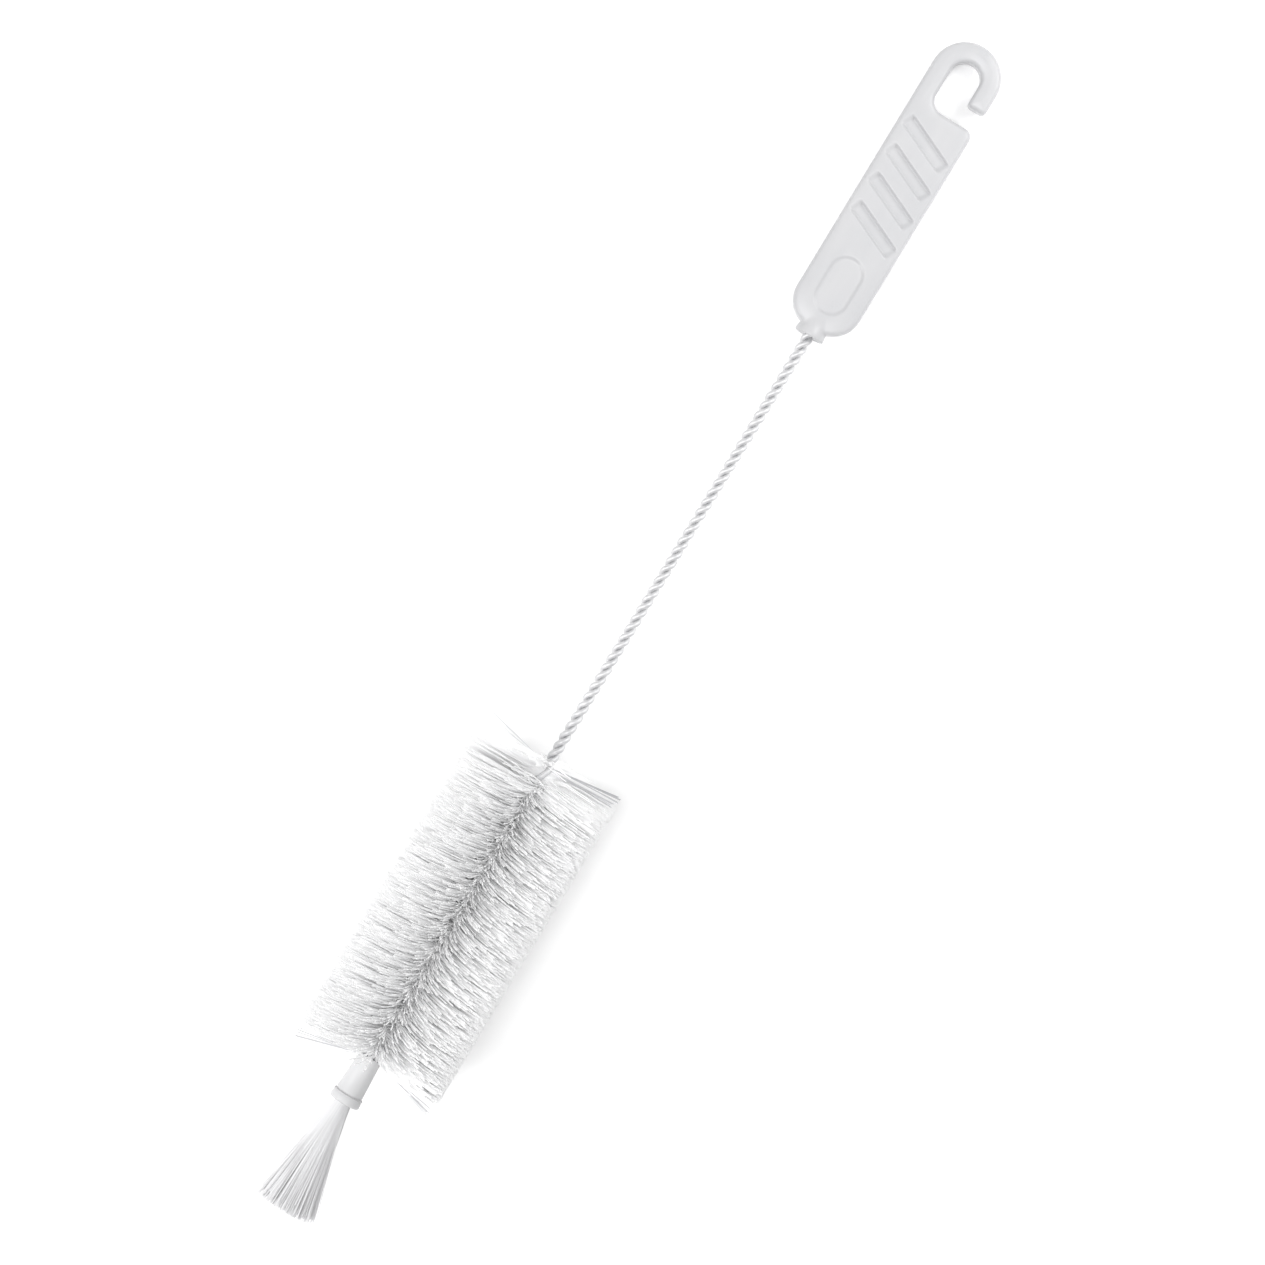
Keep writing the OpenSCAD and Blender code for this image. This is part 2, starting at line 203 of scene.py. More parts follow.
class Grower:
    """A Geometry Nodes tree that turns rows of points into round strands."""

    def __init__(self, name: str) -> None:
        """Starts an empty tree with a geometry input and output."""
        self.tree = bpy.data.node_groups.new(name, "GeometryNodeTree")
        for way in ("INPUT", "OUTPUT"):
            self.tree.interface.new_socket(
                "Geometry", in_out=way, socket_type="NodeSocketGeometry"
            )
        self.source = self.add("NodeGroupInput")
        self.values: dict[str, float | int] = {}

    def add(self, kind: str, **settings: object) -> bpy.types.Node:
        """Adds a node and sets its properties."""
        node = self.tree.nodes.new(kind)
        for name, value in settings.items():
            setattr(node, name, value)
        return node

    def join(self, start: bpy.types.NodeSocket, end: bpy.types.NodeSocket) -> None:
        """Links two sockets."""
        self.tree.links.new(start, end)

    def size(self, name: str, value: float) -> Term:
        """Adds a named number to the tree's inputs and returns it."""
        return self._input(name, value, "NodeSocketFloat")

    def count(self, name: str, value: int) -> Term:
        """Adds a named whole number to the tree's inputs and returns it."""
        return self._input(name, value, "NodeSocketInt")

    def _input(self, name: str, value: float | int, kind: str) -> Term:
        """Adds a named input and keeps the value that its modifier gets."""
        made = self.tree.interface.new_socket(name, in_out="INPUT", socket_type=kind)
        self.values[made.identifier] = value
        return Term(self.tree, self.source.outputs[name])

    def index(self) -> Term:
        """Returns the point's number."""
        return Term(self.tree, self.add("GeometryNodeInputIndex").outputs[0])

    def chance(self, key: Term, seed: Term, low: float = 0.0, high: float = 1.0) -> Term:
        """Returns a random number that is the same for all points with the same key.

        Args:
            key: the number that the choice hangs on.
            seed: the seed.
            low: the least value.
            high: the greatest value.

        Returns:
            The random number.
        """
        node = self.add("FunctionNodeRandomValue", data_type="FLOAT")
        node.inputs[2].default_value = low
        node.inputs[3].default_value = high
        self.join(key.socket, node.inputs["ID"])
        self.join(seed.socket, node.inputs["Seed"])
        return Term(self.tree, node.outputs[1])

    def spread(self, key: Term, seed: Term) -> Term:
        """Returns a random number about 0, mostly from -1 to 1 and never past 1.5 either way."""
        parts = [self.chance(key, seed + 101.0 * k, -1.0, 1.0) for k in range(3)]
        return (parts[0] + parts[1] + parts[2]) * 0.5

    def strands(
        self,
        strand_count: Term,
        points: int,
        place: Callable[[Term, Term], tuple[Term, Term, Term]],
        radius: Term,
        sides: int,
        tone: Callable[[Term], Term],
        material: bpy.types.Material,
    ) -> None:
        """Writes the rest of the tree: points, strands through them, and round tubes.

        Args:
            strand_count: how many strands.
            points: points on each strand.
            place: gives x, y and z from the strand's number and the share of its way, 0 to 1.
            radius: the tube's radius.
            sides: sides of the tube.
            tone: gives each strand's shade from its number.
            material: the finish.
        """
        index = self.index()
        strand = (index / float(points) + NUDGE).floor()
        step = index - strand * float(points)
        share = step / float(points - 1)
        spots = self.add("GeometryNodePoints")
        self.join((strand_count * float(points)).socket, spots.inputs["Count"])
        position = self.add("ShaderNodeCombineXYZ")
        for socket, part in zip(position.inputs, place(strand, share)):
            self.join(part.socket, socket)
        self.join(position.outputs[0], spots.inputs["Position"])
        threads = self.add("GeometryNodePointsToCurves")
        self.join(spots.outputs[0], threads.inputs["Points"])
        self.join(strand.socket, threads.inputs["Curve Group ID"])
        self.join(step.socket, threads.inputs["Weight"])
        shade = self.add("GeometryNodeStoreNamedAttribute", data_type="FLOAT", domain="POINT")
        shade.inputs["Name"].default_value = "tone"
        self.join(threads.outputs[0], shade.inputs["Geometry"])
        thread = (self.index() / float(points) + NUDGE).floor()
        self.join(tone(thread).socket, shade.inputs["Value"])
        ring = self.add("GeometryNodeCurvePrimitiveCircle", mode="RADIUS")
        ring.inputs["Resolution"].default_value = sides
        self.join(radius.socket, ring.inputs["Radius"])
        tube = self.add("GeometryNodeCurveToMesh")
        tube.inputs["Fill Caps"].default_value = True
        self.join(shade.outputs[0], tube.inputs["Curve"])
        self.join(ring.outputs[0], tube.inputs["Profile Curve"])
        smooth = self.add("GeometryNodeSetShadeSmooth")
        smooth.inputs["Shade Smooth"].default_value = sides >= SMOOTH_FROM
        real = self.add("GeometryNodeRealizeInstances")
        finish = self.add("GeometryNodeSetMaterial")
        finish.inputs["Material"].default_value = material
        out = self.add("NodeGroupOutput")
        self.join(tube.outputs[0], smooth.inputs[0])
        self.join(smooth.outputs[0], real.inputs[0])
        self.join(real.outputs[0], finish.inputs["Geometry"])
        self.join(finish.outputs[0], out.inputs[0])

    def grow(self, name: str, placement: Matrix) -> bpy.types.Object:
        """Runs the tree once and keeps its result as a plain mesh.

        Args:
            name: the piece's name.
            placement: matrix from the tree's millimetres to the row frame.

        Returns:
            The piece, with no modifier left on it.
        """
        piece = shown(name, bpy.data.meshes.new(name))
        modifier = piece.modifiers.new("grow", "NODES")
        modifier.node_group = self.tree
        for identifier, value in self.values.items():
            modifier[identifier] = value
        graph = bpy.context.evaluated_depsgraph_get()
        mesh = bpy.data.meshes.new_from_object(piece.evaluated_get(graph), depsgraph=graph)
        piece.modifiers.remove(modifier)
        mesh.transform(placement)
        piece.data = mesh
        return piece


# Finishes

Colour = tuple[float, float, float]


class Recipe:
    """A material's nodes being laid out round its Principled shader."""

    def __init__(self, name: str) -> None:
        """Starts a material with a Principled shader and object coordinates in millimetres."""
        self.material = bpy.data.materials.new(name)
        self.material.use_nodes = True
        self.tree = self.material.node_tree
        self.shader = self.tree.nodes["Principled BSDF"]
        place = self.tree.nodes.new("ShaderNodeTexCoord")
        scale = self.tree.nodes.new("ShaderNodeMapping")
        scale.inputs["Scale"].default_value = (1 / MM, 1 / MM, 1 / MM)
        self.tree.links.new(place.outputs["Object"], scale.inputs["Vector"])
        self.place = scale.outputs["Vector"]

    def set(self, **values: float | tuple[float, ...]) -> None:
        """Sets the shader's own sockets; an underscore in a name stands for a space."""
        for name, value in values.items():
            self.shader.inputs[name.replace("_", " ")].default_value = value

    def noise(self, grain: float, detail: float = 2.0, stretch: Vector | None = None) -> Term:
        """Adds a noise of a given grain.

        Args:
            grain: the size of one lump in millimetres.
            detail: the noise's detail.
            stretch: how far the noise is drawn out along each axis, if it is.

        Returns:
            The noise, from 0 to 1.
        """
        node = self.tree.nodes.new("ShaderNodeTexNoise")
        node.inputs["Scale"].default_value = 1.0 / grain
        node.inputs["Detail"].default_value = detail
        start = self.place
        if stretch is not None:
            drawn = self.tree.nodes.new("ShaderNodeMapping")
            drawn.inputs["Scale"].default_value = [1.0 / k for k in stretch]
            self.tree.links.new(start, drawn.inputs["Vector"])
            start = drawn.outputs["Vector"]
        self.tree.links.new(start, node.inputs["Vector"])
        return Term(self.tree, node.outputs["Fac"])

    def attribute(self, name: str) -> Term:
        """Returns one of the mesh's own numbers."""
        node = self.tree.nodes.new("ShaderNodeAttribute")
        node.attribute_name = name
        return Term(self.tree, node.outputs["Fac"])

    def colour(self, share: Term, stops: Sequence[tuple[float, Colour]]) -> None:
        """Colours the shader along a ramp.

        Args:
            share: where on the ramp, from 0 to 1.
            stops: the ramp's positions and colours.
        """
        ramp = self.tree.nodes.new("ShaderNodeValToRGB")
        points = ramp.color_ramp.elements
        while len(points) < len(stops):
            points.new(0.5)
        for point, (position, rgb) in zip(points, stops):
            point.position = position
            point.color = (*rgb, 1.0)
        self.tree.links.new(share.socket, ramp.inputs["Fac"])
        self.tree.links.new(ramp.outputs["Color"], self.shader.inputs["Base Color"])

    def rough(self, value: Term) -> None:
        """Drives the shader's roughness."""
        self.tree.links.new(value.socket, self.shader.inputs["Roughness"])

    def bump(self, height: Term, depth: float) -> None:
        """Gives the surface relief.

        Args:
            height: the relief, from 0 to 1.
            depth: its depth in millimetres.
        """
        node = self.tree.nodes.new("ShaderNodeBump")
        node.inputs["Distance"].default_value = depth * MM
        node.inputs["Strength"].default_value = 1.0
        self.tree.links.new(height.socket, node.inputs["Height"])
        self.tree.links.new(node.outputs["Normal"], self.shader.inputs["Normal"])


@dataclass(frozen=True)
class MouldedPlastic:
    """White polypropylene as it leaves the mould, faintly translucent and mottled."""

    name: str
    sheen: Sheen
    light: Colour = (0.565, 0.565, 0.575)
    shade: Colour = (0.535, 0.537, 0.55)
    flow_grain: float = 7.0
    skin_grain: float = 0.35
    skin_depth: float = 0.006
    skin_share: float = 0.6
    skin_play: float = 0.12
    flow_play: float = 0.1
    detail: float = 3.0
    scatter: float = 0.12
    scatter_depth: float = 1.2

    def mixed(self) -> bpy.types.Material:
        """Returns the material."""
        recipe = Recipe(self.name)
        flow = recipe.noise(self.flow_grain, self.detail, Vector((3.0, 1.0, 1.0)))
        skin = recipe.noise(self.skin_grain, self.detail)
        recipe.colour(flow, [(0.3, self.shade), (0.7, self.light)])
        recipe.rough(
            self.sheen.value + (skin - 0.5) * self.skin_play + (flow - 0.5) * self.flow_play
        )
        recipe.bump(skin * self.skin_share + flow * (1 - self.skin_share), self.skin_depth)
        recipe.set(
            IOR=1.49,
            Specular_IOR_Level=0.35,
            Subsurface_Weight=self.scatter,
            Subsurface_Radius=(1.0, 1.0, 1.0),
            Subsurface_Scale=self.scatter_depth * MM,
        )
        return recipe.material


@dataclass(frozen=True)
class GalvanisedSteel:
    """Bright zinc on drawn wire, with faint draw lines and duller spots."""

    name: str = "galvanised steel"
    bright: Colour = (0.73, 0.73, 0.735)
    dull: Colour = (0.64, 0.643, 0.655)
    spot_grain: float = 1.1
    line_grain: float = 0.12
    roughness: float = 0.5
    spot_play: float = 0.25
    line_play: float = 0.1
    relief: float = 0.01
    metal: float = 0.5

    def mixed(self) -> bpy.types.Material:
        """Returns the material."""
        recipe = Recipe(self.name)
        spots = recipe.noise(self.spot_grain, 4.0)
        lines = recipe.noise(self.line_grain, 2.0, Vector((8.0, 1.0, 1.0)))
        recipe.colour(spots, [(0.3, self.dull), (0.62, self.bright)])
        recipe.rough(
            self.roughness + (spots - 0.5) * self.spot_play + (lines - 0.5) * self.line_play
        )
        recipe.bump(lines * 0.5 + spots * 0.5, self.relief)
        recipe.set(Metallic=self.metal)
        return recipe.material


@dataclass(frozen=True)
class NylonFilament:
    """Drawn white nylon: each filament has its own shade, with faint streaks along it."""

    name: str = "nylon filament"
    pale: Colour = (0.99, 0.99, 0.99)
    grey: Colour = (0.965, 0.965, 0.97)
    roughness: float = 0.55
    gloss_play: float = 0.2
    streak_grain: float = 1.5
    streak_share: float = 0.15

    def mixed(self) -> bpy.types.Material:
        """Returns the material."""
        recipe = Recipe(self.name)
        tone = recipe.attribute("tone")
        streak = recipe.noise(self.streak_grain)
        own = tone * (1 - self.streak_share) + streak * self.streak_share
        recipe.colour(own, [(0.0, self.grey), (0.75, self.pale)])
        recipe.rough(self.roughness + (streak - 0.5) * self.gloss_play)
        recipe.set(IOR=1.53, Specular_IOR_Level=0.3)
        return recipe.material


# Forms given by a distance

Points = np.ndarray
Distance = Callable[[Points], np.ndarray]


def eased(value: np.ndarray) -> np.ndarray:
    """Returns a smooth step as the value goes from 0 to 1."""
    held = np.clip(value, 0.0, 1.0)
    return held * held * (3.0 - 2.0 * held)


def rounded_box(
    x: np.ndarray,
    y: np.ndarray,
    low: tuple[float, float],
    high: tuple[float, float],
    radii: tuple[float, float, float, float],
) -> np.ndarray:
    """Distance to a flat box whose corners each have a radius.

    Args:
        x: first coordinates.
        y: second coordinates.
        low: the box's low corner.
        high: the box's high corner.
        radii: radii at low x low y, low x high y, high x low y and high x high y.

    Returns:
        The distance, below 0 inside.
    """
    half_x, half_y = (high[0] - low[0]) / 2, (high[1] - low[1]) / 2
    across_x, across_y = x - low[0] - half_x, y - low[1] - half_y
    radius = np.where(
        across_x < 0,
        np.where(across_y < 0, radii[0], radii[1]),
        np.where(across_y < 0, radii[2], radii[3]),
    )
    return corner_max(np.abs(across_x) - half_x, np.abs(across_y) - half_y, radius)


def corner_max(a: np.ndarray, b: np.ndarray, radius: np.ndarray | float) -> np.ndarray:
    """Distance to what lies inside both of two forms, with their meeting edge rounded."""
    over_a, over_b = np.maximum(a + radius, 0), np.maximum(b + radius, 0)
    return np.minimum(np.maximum(a, b), -radius) + np.hypot(over_a, over_b)


def blend_min(a: np.ndarray, b: np.ndarray, radius: float) -> np.ndarray:
    """Distance to two forms joined with a soft fillet."""
    share = np.clip(0.5 + 0.5 * (b - a) / radius, 0.0, 1.0)
    return b + (a - b) * share - radius * share * (1.0 - share)


def ridged_max(a: np.ndarray, b: np.ndarray, radius: float) -> np.ndarray:
    """Distance to the first form less the second, with the edge slightly eased."""
    return -blend_min(-a, b, radius)


def profile_distance(
    x: np.ndarray, y: np.ndarray, corners: Sequence[tuple[float, float]]
) -> np.ndarray:
    """Distance to a closed flat outline with straight sides.

    Args:
        x: first coordinates.
        y: second coordinates.
        corners: the outline's corners, in order.

    Returns:
        The distance, below 0 inside.
    """
    nearest = np.full(x.shape, np.inf)
    inside = np.zeros(x.shape, bool)
    for (ax, ay), (bx, by) in zip(corners, [*corners[1:], corners[0]]):
        side_x, side_y = bx - ax, by - ay
        way = ((x - ax) * side_x + (y - ay) * side_y) / (side_x**2 + side_y**2)
        way = np.clip(way, 0.0, 1.0)
        nearest = np.minimum(nearest, np.hypot(x - ax - way * side_x, y - ay - way * side_y))
        if side_y != 0:
            crosses = (ay > y) != (by > y)
            inside ^= crosses & (x < ax + side_x * (y - ay) / side_y)
    return np.where(inside, -nearest, nearest)


def gradient(distance: Distance, points: Points, step: float) -> Points:
    """Slope of a distance at some points, by central differences."""
    slopes = []
    for axis in np.eye(3) * step:
        slopes.append((distance(points + axis) - distance(points - axis)) / (2 * step))
    return np.stack(slopes, -1)


def surface_net(
    distance: Distance,
    low: Sequence[float],
    high: Sequence[float],
    cell: float,
    pulls: int = 4,
    least_steepness: float = 0.3,
) -> tuple[Points, np.ndarray]:
    """Meshes the surface where a distance is 0, one corner to each crossed cell.

    Args:
        distance: the form.
        low: low corner of the space searched.
        high: high corner of the space searched.
        cell: size of a cell.
        pulls: how often the corners are pulled on to the surface.
        least_steepness: the least squared slope that a pull is divided by.

    Returns:
        The corners, and the four corners of each face.
    """
    axes = [np.arange(a, b + cell, cell) for a, b in zip(low, high)]
    grid = np.stack(np.meshgrid(*axes, indexing="ij"), -1)
    value = distance(grid.reshape(-1, 3)).reshape(grid.shape[:3])
    cells = tuple(n - 1 for n in value.shape)
    total, hits = np.zeros((*cells, 3)), np.zeros(cells)
    crossings = []
    for axis in range(3):
        start = [slice(None)] * 3
        start[axis] = slice(0, -1)
        end = [slice(None)] * 3
        end[axis] = slice(1, None)
        a, b = value[tuple(start)], value[tuple(end)]
        crossed = (a < 0) != (b < 0)
        crossings.append((crossed, a < 0))
        way = np.where(crossed, a / np.where(crossed, a - b, 1.0), 0.0)
        spot = grid[tuple(start)] + way[..., None] * np.eye(3)[axis] * cell
        spot = np.where(crossed[..., None], spot, 0.0)
        first, second = (axis + 1) % 3, (axis + 2) % 3
        for i in (0, 1):
            for j in (0, 1):
                part = [slice(None)] * 3
                part[first] = slice(i, i + cells[first])
                part[second] = slice(j, j + cells[second])
                total += spot[tuple(part)]
                hits += crossed[tuple(part)]
    used = hits > 0
    number = np.full(cells, -1)
    number[used] = np.arange(used.sum())
    corners = total[used] / hits[used][:, None]
    faces = []
    for axis, (crossed, outward) in enumerate(crossings):
        first, second = (axis + 1) % 3, (axis + 2) % 3
        spots = np.argwhere(crossed)
        keep = (spots[:, first] > 0) & (spots[:, second] > 0)
        keep &= (spots[:, first] < cells[first]) & (spots[:, second] < cells[second])
        spots = spots[keep]
        turn = outward[tuple(spots.T)]
        ring = []
        for i, j in ((1, 1), (0, 1), (0, 0), (1, 0)):
            back = spots.copy()
            back[:, first] -= i
            back[:, second] -= j
            ring.append(number[tuple(back.T)])
        ring = np.stack(ring, -1)
        faces.append(np.where(turn[:, None], ring, ring[:, ::-1]))
    for _ in range(pulls):
        slope = gradient(distance, corners, cell * 0.1)
        steep = np.maximum((slope**2).sum(-1), least_steepness)
        move = -(distance(corners) / steep)[:, None] * slope
        corners = corners + np.clip(move, -cell / 2, cell / 2)
    return corners, np.concatenate(faces)


def solid(
    name: str, corners: Points, faces: np.ndarray | list, placement: Matrix
) -> bpy.types.Object:
    """Makes a smooth piece from corners and faces.

    Args:
        name: the piece's name.
        corners: its corners in the brush's millimetres.
        faces: its faces.
        placement: matrix to the row frame.

    Returns:
        The piece.
    """
    mesh = bpy.data.meshes.new(name)
    mesh.from_pydata(corners.tolist(), [], [list(map(int, face)) for face in faces])
    mesh.transform(placement)
    mesh.shade_smooth()
    return shown(name, mesh)


# Pieces

@dataclass
class Piece:
    """One thing that the brush is put together from."""

    axis: BrushAxis

    def build(self) -> list[bpy.types.Object]:
        """Builds the piece's objects."""
        raise NotImplementedError

    @staticmethod
    def settle(made: bpy.types.Object, node: str, slot: Slot) -> bpy.types.Object:
        """Puts an object in the place of its CAD node.

        Args:
            made: the object.
            node: the CAD node that it stands for.
            slot: the record's material slot; not used.

        Returns:
            The same object.
        """
        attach(made, BODY)
        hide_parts(node)
        return made


@dataclass
class Handle(Piece):
    """The moulded handle: a flat grip with a thumb pad, slanted flutes, a hook and a collar."""

    finish: MouldedPlastic = MouldedPlastic("handle polypropylene", Sheen.POLISHED)
    length: float = 97.0
    width: float = 21.4
    thickness: float = 7.5
    end_radius: float = 8.8
    edge_run: float = 1.2
    edge_fall: float = 1.3
    bar: float = 6.0
    eye_length: float = 17.4
    mouth_gap: float = 6.1
    fillet: float = 4.3
    shoulder_radius: float = 2.6
    tip_radius: float = 1.4
    flute_count: int = 4
    flute_pitch: float = 9.8
    flute_width: float = 4.8
    flute_depth: float = 1.3
    flute_ramp: float = 1.0
    flute_wall: float = 0.75
    crown_run: float = 4.5
    crown_fall: float = 0.55
    flute_lean: float = 24.0
    flute_setback: float = 10.2
    flute_reach: float = 9.8
    flute_end: float = 2.2
    flute_rise: float = 0.14
    pad_length: float = 19.4
    pad_width: float = 11.4
    pad_depth: float = 0.6
    pad_setback: float = 4.8
    pad_ramp: float = 1.3
    collar_projection: float = 2.6
    collar_bulge: float = 1.2
    collar_skin: float = 0.05
    collar_blend: float = 0.8
    collar_profile: tuple[tuple[float, float], ...] = (
        (-1.4, 0.0), (-1.4, 1.9), (-2.5, 4.1), (-2.3, 4.6), (-1.4, 4.6), (5.0, 3.2), (5.0, 0.0)
    )
    bore: float = 1.95
    bore_depth: float = 37.0
    bore_edge: float = 0.15
    cell: float = 0.32

    @property
    def shoulder(self) -> float:
        """Returns the distance from the round end to the shoulder at the hook."""
        return self.length - self.bar - self.eye_length

    def outline(self, x: np.ndarray, y: np.ndarray) -> np.ndarray:
        """Distance to the handle's flat outline, in its own plane."""
        half = self.width / 2
        inner = half - self.bar
        blank = rounded_box(
            x, y, (0, -half), (self.length, half), (self.end_radius, self.end_radius, half, half)
        )
        crown = self.length - self.bar
        eye = rounded_box(
            x, y, (self.shoulder, -inner), (crown, inner), (SHARP, self.fillet, inner, inner)
        )
        tip = self.shoulder + self.mouth_gap
        far = 3 * half
        mouth = rounded_box(x, y, (self.shoulder, -far), (tip, 0), (SHARP,) * 4)
        middle = self.shoulder + self.mouth_gap / 2
        hollow = -corner_max(-eye, -mouth, np.where(x < middle, SHARP, self.tip_radius))
        radius = np.where(x < middle, self.shoulder_radius, self.tip_radius)
        return corner_max(blank, -hollow, radius)

    def sunk(self, x: np.ndarray, y: np.ndarray) -> np.ndarray:
        """Depth of the flutes and the thumb pad below the flat face."""
        lean = math.radians(self.flute_lean)
        depth = np.zeros(x.shape)
        for i in range(self.flute_count):
            middle = self.shoulder - self.flute_setback - i * self.flute_pitch
            across = (x - middle) * math.cos(lean) - y * math.sin(lean)
            along = (x - middle) * math.sin(lean) + y * math.cos(lean)
            half = self.flute_width / 2
            near_wall = eased((across + half) / self.flute_ramp)
            far_wall = eased((half - across) / self.flute_wall)
            floor = 1 - self.flute_rise + self.flute_rise * across / half
            ends = eased((self.flute_reach - np.abs(along)) / self.flute_end)
            cut = self.flute_depth * near_wall * far_wall * floor * ends
            depth = np.maximum(depth, cut)
        half = self.pad_width / 2
        end = self.pad_setback + self.pad_length
        pad = rounded_box(x, y, (self.pad_setback, -half), (end, half), (half,) * 4)
        dish = self.pad_depth * eased(-pad / self.pad_ramp)
        return np.maximum(depth, dish)

    def collar(self, x: np.ndarray, out: np.ndarray) -> np.ndarray:
        """Distance to the flared collar, turned about the wire, with x from the round end."""
        return profile_distance(x, out, self.collar_profile) - self.collar_skin

    def form(self, points: Points) -> np.ndarray:
        """Distance to the whole handle, with x from its round end."""
        x, y, z = points.T
        flat = self.outline(x, y)
        crown = self.crown_fall * np.clip(1 + flat / self.crown_run, 0, 1) ** 2
        level = self.thickness / 2 - crown - self.sunk(x, y)
        over_x = (flat + self.edge_run) / self.edge_run
        over_z = (np.abs(z) - level + self.edge_fall) / self.edge_fall
        reach = np.hypot(np.maximum(over_x, 0), np.maximum(over_z, 0))
        inner = np.minimum(np.maximum(over_x, over_z), 0)
        slab = (reach + inner - 1.0) * self.edge_fall
        out = np.hypot(y, z)
        body = blend_min(slab, self.collar(x, out), self.collar_blend)
        bore = np.maximum(out - self.bore, x - self.bore_depth)
        return ridged_max(body, bore, self.bore_edge)

    def build(self) -> list[bpy.types.Object]:
        """Builds the handle as one closed mesh."""
        margin = 3 * self.cell
        half, flat = self.width / 2, self.thickness / 2 + self.collar_bulge
        corners, faces = surface_net(
            self.form,
            (-self.collar_projection - margin, -half - margin, -flat - margin),
            (self.length + margin, half + margin, flat + margin),
            self.cell,
        )
        corners[:, 0] += self.axis.handle
        made = solid("handle_grip", corners, faces, self.axis.placement())
        made.data.materials.append(self.finish.mixed())
        return [self.settle(made, "handle", Slot.HANDLE)]


@dataclass
class TwistedWire(Piece):
    """One hairpin of wire: its legs twist round each other, and its eye holds the tuft."""

    finish: GalvanisedSteel = GalvanisedSteel()
    diameter: float = 1.8
    web: float = 0.5
    play: float = 0.05
    eye_centre: float = 42.5
    eye_radius: float = 1.9
    cut_end: float = 339.0
    lay_change: float = 3.0
    eye_share: float = 0.008
    points: int = 1400
    sides: int = 12

    def build(self) -> list[bpy.types.Object]:
        """Grows the wire along its path."""
        grower = Grower("twisted wire")
        turn = 2 * math.pi
        eye_share = self.eye_share
        radius = grower.size("Wire radius", self.diameter / 2)
        bare = grower.size("Lay radius in the stem", (self.diameter + self.play) / 2)
        held = grower.size("Lay radius in the head", (self.diameter + self.web) / 2 + self.play)
        eye = grower.size("Eye radius", self.eye_radius)
        stem_pitch = grower.size("Stem pitch", self.axis.stem_pitch)
        head_pitch = grower.size("Head pitch", self.axis.head_pitch)
        count = grower.count("Wires", 1)

        def place(strand: Term, share: Term) -> tuple[Term, Term, Term]:
            """Gives a point of the hairpin from the share of its way."""
            way = share * 2.0 - 1.0
            side = way.math("SIGN")
            far = way.math("ABSOLUTE")
            on_leg = far.above(eye_share)
            bend = (far / eye_share).unit() * (math.pi / 2)
            along = ((far - eye_share) / (1.0 - eye_share)).unit()
            leg_x = self.eye_centre + along * (self.cut_end - self.eye_centre)
            station = leg_x - (1.0 - on_leg) * eye * bend.cos()
            into = ((station - self.axis.eye_start) / self.lay_change).eased()
            leaving = ((self.axis.stem + self.lay_change - station) / self.lay_change).eased()
            lay = bare + (held - bare) * into * leaving
            opening = (self.axis.eye_start - station) / (self.axis.eye_start - self.eye_centre)
            lay = lay + (eye - bare) * opening.eased()
            out = (on_leg * lay + (1.0 - on_leg) * eye * bend.sin()) * side
            held_station = station.most(self.axis.eye_start) - self.axis.stem
            turns = held_station.most(0.0) / stem_pitch + held_station.least(0.0) / head_pitch
            angle = turn * turns
            return station, out * angle.cos(), out * angle.sin()

        grower.strands(
            count,
            self.points,
            place,
            radius,
            self.sides,
            lambda thread: thread * 0.0,
            self.finish.mixed(),
        )
        made = grower.grow("stem_wire_twist", self.axis.placement())
        return [self.settle(made, "stem_wire", Slot.WIRE)]


